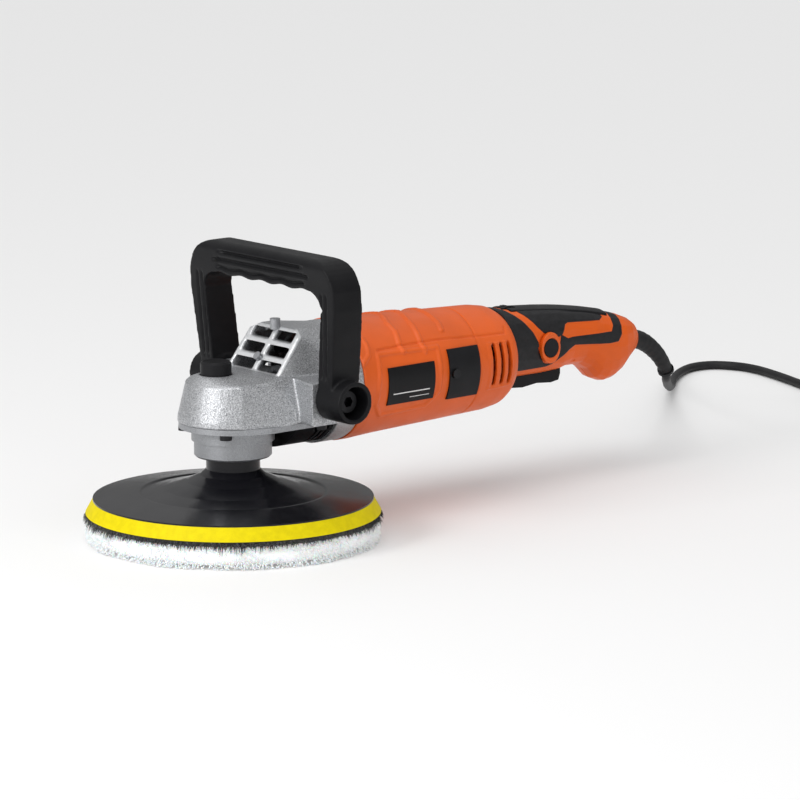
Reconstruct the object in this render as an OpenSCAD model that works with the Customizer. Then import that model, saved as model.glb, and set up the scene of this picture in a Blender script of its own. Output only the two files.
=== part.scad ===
// Rotary polisher with a bail handle, a bevel gear head and a clamshell rear handle.
// Origin: spindle axis at the working face of the pad. +X runs to the tail, +Z up.
// Units: millimetres.

/* [Polishing pad] */
// Largest diameter of the foam cushion
pad_d = 180; // [172:1:184]
// Height of the wool pile
wool_h = 14.5; // [12:0.5:16]
// Thickness of the hook-and-loop layer
loop_h = 3; // [2:0.5:3.5]
// Thickness of the foam cushion
foam_h = 8; // [6:0.5:9]

/* [Gear head] */
// Height of the motor axis above the working face
axis_z = 90; // [88:0.5:94]
// Half width of the gear head at its foot
head_half_w = 36.5; // [35:0.5:38]
// Distance from the spindle axis to the outer face of a handle ear
ear_y = 51; // [49:0.5:53]
// Travel of the spindle lock button
lock_travel = 4; // [3:0.5:4]

/* [Bail handle] */
// Height of the top of the bail above the motor axis
bail_h = 86; // [78:1:92]
// Distance from the spindle axis to the end of a bail foot
foot_y = 73.6; // [72:0.2:76]
// Width of a bail leg along the tool
leg_w = 22; // [20:1:24]

/* [Motor housing] */
// Radius of the housing where it meets the gear head
housing_r = 38; // [37.5:0.5:39]
// Wall thickness of the plastic housing
wall = 3; // [2.5:0.5:3.5]
// Number of vent slots on each side
vent_count = 3; // [1:1:3]

/* [Rear handle] */
// Wall thickness of the handle shells
shell_wall = 2.6; // [2.2:0.2:3]
// Half width of the hollow inside the handle
hollow_half_w = 11; // [10:0.5:11.5]
// Height of the soft grip above the shells
grip_h = 0.8; // [0.6:0.1:1]
// Half width of the soft grip
grip_half_w = 9; // [8:0.5:10]
// Half width of the handle where it meets the motor housing
handle_half_w = 22.5; // [22:0.1:23]

/* [Mains lead] */
// Outer diameter of the cord
cord_d = 6; // [5.8:0.1:6.2]
// Radius of the coil at the middle of its turns
coil_r = 36; // [35:0.5:37]

/* [Hidden] */
$fn = 96;

ORANGE = [0.93, 0.34, 0.08];
BLACK = [0.08, 0.08, 0.09];
CAST = [0.66, 0.67, 0.69];
STEEL = [0.75, 0.76, 0.78];
COPPER = [0.78, 0.42, 0.2];
BRASS = [0.8, 0.68, 0.35];
GREY = [0.4, 0.4, 0.42];

// pad and backing plate levels
pad_r = pad_d / 2;
foam_z = wool_h + loop_h;
plate_z = foam_z + foam_h;
plate_r = pad_r - 4.5;
dish_r = 57.5;
hub_r = 16.5;
thread_r = 7;

// gear head levels, all measured from the motor axis
collar_z = axis_z - 38;
ring_z = axis_z - 28;
head_z = axis_z - 20;
block_z = head_z + 3.5;
head_top = axis_z + 9;
hub_top = collar_z - 0.6;
head_rear = 56;
flange_end = 73;
nose_r = 34;
nose_top_r = 28.3;
bail_x = 36;

// bevel gears: pitch cones meet where the spindle and motor axes cross
crown_teeth = 43;
pinion_teeth = 11;
pitch_angle = atan(pinion_teeth / crown_teeth);
gear_in = 15;
gear_out = 24;
chamber_r = gear_out + 3;
tooth_up = 0.7;
tooth_down = 0.9;

// spindle lock
lock_x = -12.7;
button_r = 9.5;
button_z = axis_z + 8 + lock_travel;

// motor
housing_end = 206;
stator_r = 32;
stator_x = 98;
stator_l = 40;
rotor_r = 19.5;
shaft_r = 5.5;
run_gap = 0.03;
brush_x = 158;
cover_x = 142.5;
cover_screw_x = 146.5;
vent_x = 180.6;
vent_step = 6.6;
web_x = 177;
plate_x = 92;

// rear handle
handle_tail = 329;
pivot_x = 211;
pivot_z = axis_z - 12;
button_x = 239;
button_up = 3.3;
bezel_r = 10;
bezel_y = 19;
dial_x = 219;
dial_up = 21;
dial_r = 9;
screw_spots = [[240, 21], [266, -8], [272, 15], [298, -18]];

// stations along the rear handle: position, top, bottom (from the motor axis), half width
HANDLE = [
    [206, 29.5, -16.5, 23],
    [216, 29, -16.5, 22],
    [230, 28, -16.5, 21],
    [244, 27, -16.5, 20],
    [256, 25.8, -16, 19],
    [264, 24.8, -13.8, 18],
    [276, 23, -13.8, 17.5],
    [284, 21.6, -18, 17.5],
    [291, 20.2, -25, 17],
    [298, 18.8, -27.6, 16.5],
    [305, 17, -26.5, 16],
    [312, 15, -22.5, 15],
    [319, 12.3, -16, 12.5],
    [325, 8.5, -12, 9.5],
    [handle_tail, 3.5, -9, 6]
];

// strain relief: centre line and radius
RELIEF = [
    [[322, 0, 87], 6.2],
    [[332, 0, 85.5], 6.1],
    [[341, 0, 81.5], 5.7],
    [[350, 0, 74.5], 5.2],
    [[357, 1, 67], 4.7],
    [[360.5, 2.2, 62.6], 4.4],
    [[360.8, 2.4, 62.2], 5.4],
    [[362, 3, 60.5], 5.4]
];

// mains lead: centre line from the strain relief to the coil
ROUTE = [
    [362, 3, 60.5],
    [368, 9, 54.5],
    [382, 24, 49.5],
    [402, 45, 43],
    [424, 68, 36],
    [448, 93, 28],
    [474, 119, 20],
    [500, 146, 12.5],
    [526, 172, 7],
    [552, 198, 4],
    [576, 217, 3.2],
    [597, 227, 3.2],
    [615, 225, 3.2],
    [626, 210, 3.2],
    [628, 190, 3.2],
    [622, 162, 3.2],
    [613, 132, 3.2],
    [604, 104, 3.5],
    [595, 71, 3.8]
];
coil_gap = 0.8;
coil_turn = coil_r + cord_d / 2;
coil_x = 595 + coil_turn;
coil_y = 56;
coil_layers = 4;
coil_top = coil_gap + coil_layers * cord_d;
plug_y = 8;
plug_r = 18.5;
plug_z = 14;
plug_len = 36;
pin_len = 19;
pin_r = 2.4;
pin_gap = 19;
TAIL = [
    [595, 40, coil_top - 3],
    [595, 28, coil_top - 5],
    [595, 16, plug_z + 1],
    [595, plug_y, plug_z]
];

// ---------- helpers ----------

module along_x(x = 0) {
    translate([x, 0, axis_z]) rotate([0, 90, 0]) children();
}

module along_y(x, z) {
    translate([x, 0, z]) rotate([90, 0, 0]) children();
}

module turned_z(points) {
    rotate_extrude() polygon(points);
}

// points are [radius, position along the motor axis]
module turned_x(points) {
    along_x() rotate_extrude() polygon(points);
}

module both_sides() {
    children();
    mirror([0, 1, 0]) children();
}

// a washer from radius a to radius b
module ring(a, b, h) {
    difference() {
        cylinder(r = b, h = h);
        translate([0, 0, -1]) cylinder(r = a, h = h + 2);
    }
}

module around(count, turn = 0) {
    for (i = [0:count - 1]) rotate([0, 0, turn + i * 360 / count]) children();
}

// joins closed rings of points into one solid
module skin(rings) {
    n = len(rings[0]);
    m = len(rings);
    sides = [for (i = [0:m - 2], j = [0:n - 1])
        [i * n + j, i * n + (j + 1) % n, (i + 1) * n + (j + 1) % n, (i + 1) * n + j]];
    start = [[for (j = [n - 1:-1:0]) j]];
    end = [[for (j = [0:n - 1]) (m - 1) * n + j]];
    polyhedron(points = [for (r = rings) each r], faces = concat(start, sides, end), convexity = 8);
}

function unit(v) = v / norm(v);

// Catmull-Rom point between b and c
function spline(a, b, c, d, t) =
    0.5 * (2 * b + (c - a) * t + (2 * a - 5 * b + 4 * c - d) * t * t + (3 * b - a - 3 * c + d) * t * t * t);

function smooth_path(p, steps) = let (n = len(p)) concat(
    [for (i = [0:n - 2], s = [0:steps - 1])
        spline(p[max(i - 1, 0)], p[i], p[i + 1], p[min(i + 2, n - 1)], s / steps)],
    [p[n - 1]]);

function tangent(p, i) = unit(p[min(i + 1, len(p) - 1)] - p[max(i - 1, 0)]);

function tube_ring(p, i, r, sides) = let (
    t = tangent(p, i),
    side = unit(cross(t, [0, 0, 1])),
    up = cross(side, t))
    [for (k = [0:sides - 1]) let (a = k * 360 / sides) p[i] + r * (cos(a) * side + sin(a) * up)];

module tube(path, r, sides = 10) {
    skin([for (i = [0:len(path) - 1]) tube_ring(path, i, r, sides)]);
}

// ---------- pad and spindle ----------

module wool_pad() {
    color("white") turned_z([
        [0, 0], [pad_r - 7, 0], [pad_r - 3, 3], [pad_r - 2, 8], [pad_r - 3, wool_h], [0, wool_h]
    ]);
}

module loop_disc() {
    color(BLACK) translate([0, 0, wool_h]) cylinder(r = pad_r - 1, h = loop_h);
}

module foam_ring() {
    color("gold") turned_z([
        [12, foam_z], [pad_r, foam_z], [plate_r, plate_z], [12, plate_z]
    ]);
}

module backing_plate() {
    color(BLACK) turned_z([
        [thread_r, plate_z], [plate_r, plate_z], [plate_r, plate_z + 1],
        [dish_r + 0.6, plate_z + 4.4], [dish_r - 0.6, plate_z + 4.4], [dish_r - 1.5, plate_z + 3.8],
        [42, plate_z + 6.8], [29, plate_z + 11], [20.5, plate_z + 15], [hub_r, plate_z + 18.5],
        [hub_r, hub_top], [thread_r, hub_top]
    ]);
}

module spindle() {
    color(STEEL) turned_z([
        [0, plate_z + 6], [thread_r - 0.05, plate_z + 6], [thread_r - 0.05, hub_top], [10.4, hub_top],
        [10.4, collar_z + 4.3], [7.5 - run_gap, collar_z + 4.3], [7.5 - run_gap, head_z - 0.5],
        [7, head_z - 0.5], [7, axis_z - 6], [4 - run_gap, axis_z - 6],
        [4 - run_gap, axis_z + 5], [0, axis_z + 5]
    ]);
}

// one straight tooth lying along the shared pitch line; up is +1 for the crown, -1 for the pinion
module bevel_tooth(up, foot, tip) {
    translate([0, 0, axis_z]) rotate([0, pitch_angle, 0]) translate([gear_in, 0, 0])
        rotate([90, 0, 90]) linear_extrude(gear_out - gear_in) polygon([
            [-foot, -up * (tooth_down + 0.4)], [foot, -up * (tooth_down + 0.4)],
            [tip, up * tooth_up], [-tip, up * tooth_up]
        ]);
}

module crown_gear() {
    drop_in = gear_in * tan(pitch_angle) + tooth_down;
    drop_out = (gear_out + 0.5) * tan(pitch_angle) + tooth_down;
    color(STEEL) difference() {
        union() {
            turned_z([
                [7, head_z + 1.5], [10, head_z + 1.5], [10, axis_z - 14.5], [gear_out + 0.5, axis_z - 14.5],
                [gear_out + 0.5, axis_z - drop_out], [gear_in, axis_z - drop_in],
                [gear_in, axis_z - 8], [7, axis_z - 8]
            ]);
            around(crown_teeth) bevel_tooth(1, 0.78, 0.3);
        }
        around(8) translate([12.7, 0, axis_z - 20]) cylinder(r = 2.1, h = 20, $fn = 32);
    }
}

// ---------- gear head ----------

// plan of the gear head: a round nose that runs into straight sides
module head_plan(nose, half_w) {
    circle(r = nose);
    translate([2, -half_w]) square([head_rear - 2, 2 * half_w]);
}

module slab(z, nose, half_w, h = 0.5) {
    translate([0, 0, z]) linear_extrude(h) hull() head_plan(nose, half_w);
}

module head_block() {
    hull() {
        translate([0, 0, block_z]) cylinder(r = nose_r - 0.3, h = 0.5, $fn = 48);
        translate([0, 0, axis_z - 13]) cylinder(r = nose_r - 0.6, h = 0.5, $fn = 48);
        translate([0, 0, head_top - 1.5]) cylinder(r = nose_top_r + 0.3, h = 0.5, $fn = 48);
        translate([0, 0, head_top]) cylinder(r = nose_top_r - 1.2, h = 0.3, $fn = 48);
        translate([2, -head_half_w, block_z]) cube([head_rear - 2, 2 * head_half_w, 6]);
        translate([20, -29.5, axis_z + 8]) cube([head_rear - 20, 59, 3]);
        translate([lock_x, 0, axis_z + 10]) cylinder(r = 13, h = 2, $fn = 48);
        translate([lock_x, 0, axis_z + 10]) cylinder(r = 10.8, h = 3.4, $fn = 48);
    }
}

module ear() {
    hull() {
        translate([24, 26, axis_z - 15]) cube([28, 1, 26]);
        translate([21, ear_y - 1, axis_z - 15.5]) cube([29, 1, 24.8]);
        translate([22, ear_y - 1, axis_z - 16]) cube([27, 1, 26.2]);
    }
}

// the hood over the motor's front end, with a sloping louvred face
module dome(inset) {
    hull() {
        translate([15 + inset, inset - 25, axis_z + 8]) cube([2, 2 * (25 - inset), 4 - inset / 2]);
        translate([32 + inset, inset - 24, axis_z + 8]) cube([4, 2 * (24 - inset), 26 - inset]);
        translate([35 + inset, inset - 16, axis_z + 8]) cube([8, 2 * (16 - inset), 30 - inset]);
        intersection() {
            along_x(60) cylinder(r = 37.5 - inset, h = 2, $fn = 64);
            translate([58, -40, axis_z + 8]) cube([6, 80, 40]);
        }
    }
}

// louvre windows, two columns by three rows
module dome_windows() {
    for (row = [0:2], side = [-1, 1]) {
        half = 22.4 - row * 1.2;
        y = side > 0 ? 2 : -half;
        translate([8 + row * 7, y, axis_z + 12.6 + row * 8.6]) cube([20, half - 2, 6]);
    }
}

module gear_housing() {
    color(CAST) difference() {
        union() {
            head_block();
            both_sides() ear();
            difference() {
                dome(0);
                dome(3);
                dome_windows();
            }
            along_x(head_rear) cylinder(r = 37.5, h = flange_end - head_rear);
        }
        // gear chamber and clearance for the pinion
        translate([0, 0, block_z - 1]) cylinder(r = chamber_r, h = axis_z - 4 - block_z + 1);
        translate([0, 0, block_z]) cylinder(r = 24, h = axis_z + 3 - block_z);
        translate([6, -9, axis_z - 12]) cube([28, 18, 19.5]);
        // seat of the top bush
        translate([0, 0, axis_z]) cylinder(r = 7, h = 6);
        // well and guide of the lock button
        translate([lock_x, 0, axis_z + 7.5]) cylinder(r = button_r + 0.3, h = 10);
        translate([lock_x, 0, axis_z - 2]) cylinder(r = 3.1, h = 12);
        // front bearing seat, shaft passage and air passage
        along_x(34) cylinder(r = 13, h = 10);
        along_x(30) cylinder(r = 7.4, h = 28);
        along_x(48) cylinder(r = 33.5, h = 30);
        dome(3);
        // handle bolts and housing screws
        both_sides() translate([bail_x, ear_y + 1, axis_z]) rotate([90, 0, 0]) cylinder(r = 4, h = 21);
        for (y = [-28, 28], z = [-18, 18])
            translate([head_rear - 4, y, axis_z + z]) rotate([0, 90, 0]) cylinder(r = 2.2, h = 25, $fn = 32);
        for (y = [-28, 28], z = [-18, 18])
            translate([head_rear - 5.5, y, axis_z + z]) rotate([0, 90, 0]) cylinder(r = 3.8, h = 9, $fn = 32);
        // flange screws
        flange_screw_spots() translate([0, 0, block_z - 1]) cylinder(r = 2, h = 7.5, $fn = 32);
    }
}

module flange_screw_spots() {
    for (p = [[-21.3, 20.5], [-21.3, -20.5], [44, 30], [44, -30]]) translate([p[0], p[1], 0]) children();
}

module bearing_flange() {
    color(CAST) difference() {
        union() {
            slab(head_z, nose_r - 1, head_half_w - 1.2, block_z - head_z);
            translate([0, 0, ring_z]) cylinder(r = 25.3, h = head_z - ring_z + 1);
            translate([0, 0, collar_z + 4.5]) cylinder(r = 20, h = ring_z - collar_z - 4);
        }
        translate([0, 0, collar_z]) cylinder(r = 17.5, h = 16);
        translate([0, 0, collar_z]) cylinder(r = 12.5, h = 40);
        flange_screw_spots() translate([0, 0, head_z - 1]) cylinder(r = 2.3, h = 12, $fn = 32);
    }
}

module flange_screws() {
    color(BLACK) flange_screw_spots() difference() {
        union() {
            translate([0, 0, head_z - 3]) cylinder(r = 3.8, h = 3, $fn = 48);
            translate([0, 0, head_z - 0.5]) cylinder(r = 2, h = 10, $fn = 32);
        }
        translate([0, 0, head_z - 4]) cylinder(r = 1.7, h = 3, $fn = 6);
    }
}

module dust_collar() {
    color(CAST) turned_z([
        [16.2, collar_z], [22.7, collar_z], [23.7, collar_z + 1], [23.7, ring_z],
        [20, ring_z], [20, collar_z + 4.5], [16.2, collar_z + 4.5]
    ]);
}

module dust_seal() {
    color(BLACK) turned_z([
        [10.5, collar_z + 0.8], [16.2, collar_z + 0.8], [16.2, collar_z + 4.3], [10.5, collar_z + 4.3]
    ]);
}

module bearing(bore, outer, h) {
    difference() {
        cylinder(r = outer, h = h);
        translate([0, 0, -1]) cylinder(r = bore, h = h + 2);
        mid = (bore + outer) / 2;
        translate([0, 0, h - 0.6]) ring(mid - 1.2, mid + 1.2, 1);
        translate([0, 0, -0.4]) ring(mid - 1.2, mid + 1.2, 1);
    }
}

module spindle_bearing() {
    color(STEEL) translate([0, 0, collar_z + 5]) bearing(7.5, 17.5, 11);
}

module spindle_bush() {
    color(STEEL) translate([0, 0, axis_z + 0.5]) ring(4, 7, 5);
}

module exhaust_shroud() {
    color(BLACK) difference() {
        intersection() {
            along_x(26.5) cylinder(r = 36, h = head_rear - 26.7);
            translate([20, -50, axis_z - 40]) cube([40, 100, 19.8]);
        }
        along_x(30) cylinder(r = 33, h = 30);
        translate([0, 0, axis_z - 50]) cylinder(r = 26.2, h = 60);
        for (x = [43, 47, 51]) translate([x, -50, axis_z - 34]) cube([2.2, 100, 12]);
        flange_screw_spots() translate([0, 0, axis_z - 50]) cylinder(r = 4.4, h = 50);
        for (y = [-28, 28]) translate([40, y, axis_z - 18]) rotate([0, 90, 0]) cylinder(r = 4.4, h = 20);
    }
}

module dome_screws() {
    color(GREY) {
        translate([33, 0, axis_z + 36]) cylinder(r = 3.2, h = 6.5);
        translate([20.5, 0, axis_z + 19.9]) rotate([0, -52, 0]) cylinder(r = 2.6, h = 2.5);
    }
}

// ---------- bail handle ----------

// outline of one half of the bail, seen along the tool: outer face, then inner face
module bail_half() {
    top = bail_h;
    outer_foot = ear_y + 12;
    outer_knee = outer_foot + 7.4;
    polygon(concat(
        [[0, top], [46, top]],
        [for (a = [80:-10:10]) [outer_knee - 22 + 22 * cos(a), top - 22 + 22 * sin(a)]],
        [[outer_knee, top - 30], [outer_foot, 0], [ear_y, 0], [ear_y + 0.4, 10], [ear_y + 5.6, top - 32]],
        [for (a = [0:15:90]) [ear_y - 5.4 + 11.5 * cos(a), top - 31 + 11.5 * sin(a)]],
        [[0, top - 19.5]]));
}

module bail_outline() {
    bail_half();
    mirror([1, 0]) bail_half();
}

// side outline of a leg: rounded over at the top and leaning to the nose
module bail_side() {
    polygon(concat(
        [[-11, 4], [11, 4], [10, 30]],
        [for (a = [0:15:90]) [0.8 + 6 * cos(a), bail_h - 6 + 6 * sin(a)]],
        [for (a = [90:15:180]) [-9.3 + 6 * cos(a), bail_h - 6 + 6 * sin(a)]]));
}

module bail_handle() {
    k = leg_w / 22;
    color(BLACK) difference() {
        union() {
            intersection() {
                translate([bail_x - 20, 0, axis_z]) rotate([90, 0, 90]) linear_extrude(40) bail_outline();
                translate([bail_x, 80, axis_z]) rotate([90, 0, 0]) scale([k, 1, 1])
                    linear_extrude(160) bail_side();
            }
            both_sides() translate([bail_x, foot_y, axis_z]) rotate([90, 0, 0])
                cylinder(r = 13, h = foot_y - ear_y);
        }
        both_sides() translate([bail_x, foot_y + 1, axis_z]) rotate([90, 0, 0]) cylinder(r = 10, h = 16);
        both_sides() translate([bail_x, foot_y + 1, axis_z]) rotate([90, 0, 0]) cylinder(r = 4.2, h = 40);
        for (i = [0:2]) translate([bail_x - 16.7, -42, axis_z + bail_h - 6.5 - i * 4.5]) cube([2.6, 84, 1.8]);
    }
}

module bail_bolts() {
    color(GREY) both_sides() translate([bail_x, 0, axis_z]) rotate([-90, 0, 0]) difference() {
        union() {
            translate([0, 0, foot_y - 15]) cylinder(r = 6.5, h = 8);
            translate([0, 0, ear_y - 19]) cylinder(r = 4, h = foot_y - ear_y + 4.5);
        }
        translate([0, 0, foot_y - 12]) cylinder(r = 3.4, h = 8, $fn = 6);
    }
}

// ---------- spindle lock ----------

module lock_button() {
    color(BLACK) translate([lock_x, 0, 0]) turned_z([
        [0, axis_z - 4.7], [1.4, axis_z - 4.7], [1.4, axis_z + 1], [3, axis_z + 1], [3, button_z],
        [button_r, button_z], [button_r, button_z + 8.3], [button_r - 1.2, button_z + 9.5],
        [0, button_z + 9.5]
    ]);
}

module lock_spring() {
    color(STEEL) translate([lock_x, 0, axis_z + 7.5]) ring(3.6, 5.4, button_z - axis_z - 7.5);
}

// ---------- motor ----------

// outer profile of the housing, moved out by t: [radius, position]
function housing_profile(t) = [
    [housing_r + t, flange_end], [housing_r + t, 80], [housing_r - 1.2 + t, 100],
    [housing_r - 3 + t, 150], [housing_r - 4.5 + t, 190], [housing_r - 6 + t, 200],
    [housing_r - 8.5 + t, 204.5], [housing_r - 11 + t, housing_end]
];

module housing_skin(low, high, x, length, z, height) {
    intersection() {
        difference() {
            turned_x(concat([[0, flange_end]], housing_profile(high), [[0, housing_end]]));
            turned_x(concat([[0, flange_end]], housing_profile(low), [[0, housing_end]]));
        }
        translate([x, -60, axis_z + z]) cube([length, 120, height]);
    }
}

module motor_housing() {
    color(ORANGE) difference() {
        union() {
            turned_x(concat([[stator_r, flange_end]], housing_profile(0), [[8, housing_end],
                [8, housing_end - wall], [22, housing_end - wall], [29, 197], [30.5, 190],
                [31, web_x + 3.5], [15, web_x + 3.5], [15, web_x + 10], [10, web_x + 10], [10, web_x + 8],
                [11, web_x + 8], [11, web_x + 1], [14.5, web_x + 1], [14.5, web_x], [30, web_x],
                [stator_r - 1, 165], [stator_r, 140]]));
        }
        // bore ahead of the stator
        along_x(flange_end - 1) cylinder(r = 34, h = stator_x - flange_end + 1);
        // windows behind the brush covers
        for (s = [-1, 1]) translate([brush_x - 6.5, s * 36 - 12, axis_z - 8]) cube([13, 24, 16]);
        // cooling slots
        for (i = [0:vent_count - 1], s = [-1, 1])
            translate([vent_x + i * vent_step, s * 36 - 9, axis_z - 12.5]) cube([3, 18, 26.5]);
        // air holes in the rear bearing's web
        along_x(web_x - 1) around(6) translate([22, 0, 0]) cylinder(r = 4, h = 6, $fn = 48);
        for (y = [-28, 28], z = [-18, 18])
            translate([flange_end - 1, y, axis_z + z]) rotate([0, 90, 0]) cylinder(r = 2, h = 14, $fn = 32);
        for (s = [-1, 1]) translate([cover_screw_x, s * 36, axis_z]) rotate([90, 0, 0])
            cylinder(r = 1.5, h = 16, center = true, $fn = 32);
    }
    color(ORANGE) for (y = [-28, 28], z = [-18, 18])
        translate([flange_end, y, axis_z + z]) rotate([0, 90, 0]) ring(2, 3.9, 14);
}

module housing_screws() {
    color(GREY) for (y = [-28, 28], z = [-18, 18])
        translate([head_rear + 1, y, axis_z + z]) rotate([0, 90, 0]) {
            cylinder(r = 3.6, h = 2.4, $fn = 48);
            cylinder(r = 1.95, h = 28, $fn = 32);
        }
}

module front_bearing() {
    color(STEEL) along_x(36) bearing(5, 13, 8);
}

module rear_bearing() {
    color(STEEL) along_x(web_x + 1) bearing(4, 11, 7);
}

module air_baffle() {
    color(BLACK) along_x(87) ring(21, 34, 2);
}

module stator_core() {
    color(GREY) along_x(stator_x) difference() {
        cylinder(r = stator_r, h = stator_l);
        translate([0, 0, -1]) cylinder(r = rotor_r + 0.6, h = stator_l + 2);
        for (s = [-1, 1]) translate([-9, s * 25 - 4, -1]) cube([18, 8, stator_l + 2]);
    }
}

module field_coils() {
    color(COPPER) for (x = [stator_x - 7, stator_x + stator_l])
        along_x(x) difference() {
            ring(rotor_r + 1.5, 29, 7);
            for (s = [-1, 1]) translate([-4, s * 25 - 6, -1]) cube([8, 12, 9]);
        }
}

module armature_shaft() {
    color(STEEL) turned_x([
        [0, 20], [3, 20], [3, 32], [5 - run_gap, 32], [5 - run_gap, 46], [shaft_r, 46], [shaft_r, 170],
        [4 - run_gap, 170], [4 - run_gap, web_x + 9], [0, web_x + 9]
    ]);
}

module pinion() {
    color(STEEL) difference() {
        union() {
            turned_x([
                [0, 14.5], [gear_in * tan(pitch_angle) - tooth_down, 14.5],
                [gear_out * tan(pitch_angle) - tooth_down, 24], [6.5, 25.6], [6.5, 32], [0, 32]
            ]);
            translate([0, 0, axis_z]) rotate([0, 90, 0]) around(pinion_teeth, 180 / pinion_teeth)
                rotate([0, -90, 0]) translate([0, 0, -axis_z]) bevel_tooth(-1, 0.62, 0.28);
        }
        along_x(20) cylinder(r = 3, h = 20);
    }
}

module armature_core() {
    color(GREY) along_x(stator_x) difference() {
        cylinder(r = rotor_r, h = stator_l);
        translate([0, 0, -1]) cylinder(r = shaft_r, h = stator_l + 2);
        around(12) translate([rotor_r - 5, -0.8, -1]) cube([8, 1.6, stator_l + 2]);
    }
}

module armature_windings() {
    color(COPPER) for (x = [stator_x - 6.5, stator_x + stator_l])
        along_x(x) ring(shaft_r, rotor_r - 2.5, 6.5);
}

module commutator() {
    color(COPPER) along_x(brush_x - 7.5) difference() {
        ring(shaft_r, 12, 16);
        around(12) translate([10.5, -0.3, 2]) cube([3, 0.6, 15]);
    }
}

module cooling_fan() {
    color(BLACK) along_x(76) {
        ring(shaft_r, 9, 10);
        ring(8, 27, 1.6);
        around(9) translate([8, -0.8, 0]) cube([18.5, 1.6, 9.5]);
    }
}

module at_brushes() {
    both_sides() translate([brush_x, 0, axis_z]) rotate([-90, 0, 0]) children();
}

module brush_holders() {
    color(BRASS) at_brushes() difference() {
        translate([-4.5, -6, 14]) cube([9, 12, 17.5]);
        translate([-3.1, -4.6, 13]) cube([6.2, 9.2, 17.3]);
    }
}

module carbon_brushes() {
    color(BLACK) at_brushes() translate([-3, -4.5, 12.1]) cube([6, 9, 13]);
}

module brush_springs() {
    color(STEEL) at_brushes() translate([0, 0, 25.1]) ring(2, 2.8, 5.2);
}

module brush_covers() {
    color(BLACK) difference() {
        housing_skin(0.05, 1.2, cover_x, 25.5, -16.5, 31.5);
        translate([cover_x - 5, -20, 0]) cube([40, 40, 2 * axis_z]);
        for (s = [-1, 1]) translate([cover_screw_x, s * 36, axis_z]) rotate([90, 0, 0])
            cylinder(r = 1.6, h = 16, center = true, $fn = 32);
    }
}

module brush_cover_screws() {
    color(GREY) both_sides() translate([cover_screw_x, 0, axis_z]) rotate([-90, 0, 0]) {
        translate([0, 0, housing_r - 1.4]) cylinder(r = 3, h = 1.6, $fn = 48);
        translate([0, 0, 31]) cylinder(r = 1.5, h = housing_r - 32, $fn = 32);
    }
}

module name_plates() {
    color(BLACK) difference() {
        housing_skin(0.05, 0.8, plate_x, 38.3, -13.8, 23.4);
        translate([plate_x - 5, -20, 0]) cube([60, 40, 2 * axis_z]);
    }
}

// ---------- rear handle ----------

function oval(a) = pow(abs(a), 0.85) * sign(a);

function handle_ring(s) = let (
    mid = axis_z + (s[1] + s[2]) / 2,
    half_h = (s[1] - s[2]) / 2,
    half_w = s[3] * handle_half_w / HANDLE[0][3])
    [for (a = [0:18:342]) [s[0], half_w * oval(cos(a)), mid + half_h * oval(sin(a))]];

module handle_form() {
    skin([for (s = HANDLE) handle_ring(s)]);
}

// the hollow inside the two shells, with the screw bosses left standing
module handle_hollow() {
    translate([0, hollow_half_w, axis_z]) rotate([90, 0, 0]) linear_extrude(2 * hollow_half_w) difference() {
        polygon([
            [206 + shell_wall, -8], [216, -8], [216, -12], [256, -11.5], [270, -9], [300, -10], [314, -8],
            [314, 3], [302, 9.5], [276, 15.5], [244, 21], [206 + shell_wall, 23]
        ]);
        for (p = screw_spots) translate(p) circle(r = 3.6);
    }
}

// the right half of the hollow handle; the left one is its mirror image, with the button's bore
module handle_shell(is_left) {
    difference() {
        intersection() {
            handle_form();
            translate([200, 0, 0]) cube([160, 60, 200]);
        }
        handle_hollow();
        // opening to the motor, trigger slot, dial slot, groove of the soft grip
        along_x(200) cylinder(r = 7, h = 12);
        translate([207, -9.6, axis_z - 30]) cube([52.5, 19.2, 22]);
        dial_slot();
        grip_strip();
        // bores
        if (is_left) mirror([0, 1, 0]) along_y(button_x, axis_z + button_up) {
            translate([0, 0, 10]) cylinder(r = 6.1, h = 20);
            translate([0, 0, bezel_y]) cylinder(r = bezel_r, h = 10);
        }
        along_y(pivot_x, pivot_z) cylinder(r = 1.5, h = 38, center = true);
        for (p = screw_spots) along_y(p[0], axis_z + p[1]) {
            cylinder(r = 1.5, h = 26, center = true);
            if (!is_left) translate([0, 0, -30]) cylinder(r = 3.2, h = 17);
        }
        translate([320, 0, axis_z - 3.5]) rotate([0, 98, 0]) cylinder(r = 6.4, h = 22, center = true);
    }
}

module handle_shell_left() {
    color(ORANGE) mirror([0, 1, 0]) handle_shell(true);
}

module handle_shell_right() {
    color(ORANGE) handle_shell(false);
}

module dial_slot() {
    along_y(dial_x, axis_z + dial_up) cylinder(r = dial_r + 0.6, h = 8.2, center = true);
}

// soft strip let into the top of the shells
module grip_strip() {
    spots = [for (i = [1:9]) HANDLE[i]];
    count = len(spots);
    translate([0, grip_half_w, axis_z]) rotate([90, 0, 0]) linear_extrude(2 * grip_half_w)
        polygon(concat(
            [for (i = [0:count - 1]) [spots[i][0], spots[i][1] + grip_h]],
            [for (i = [count - 1:-1:0]) [spots[i][0], spots[i][1] - 2]]));
}

module handle_grip() {
    color(BLACK) difference() {
        grip_strip();
        dial_slot();
    }
}

module button_ring() {
    color(ORANGE) along_y(button_x, axis_z + button_up) translate([0, 0, bezel_y]) ring(6.1, bezel_r, 3);
}

module handle_screws() {
    color(GREY) for (p = screw_spots) along_y(p[0], axis_z + p[1]) {
        translate([0, 0, -13]) cylinder(r = 1.45, h = 22, $fn = 32);
        translate([0, 0, -15]) cylinder(r = 3, h = 2, $fn = 48);
    }
}

module switch_body() {
    color(GREY) {
        translate([224, -9, axis_z - 7]) cube([30, 18, 17]);
        translate([248, -2, axis_z - 8.4]) cube([4, 4, 1.6]);
    }
}

module speed_module() {
    color("seagreen") translate([276, -8, axis_z - 4]) cube([20, 16, 12]);
}

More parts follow.
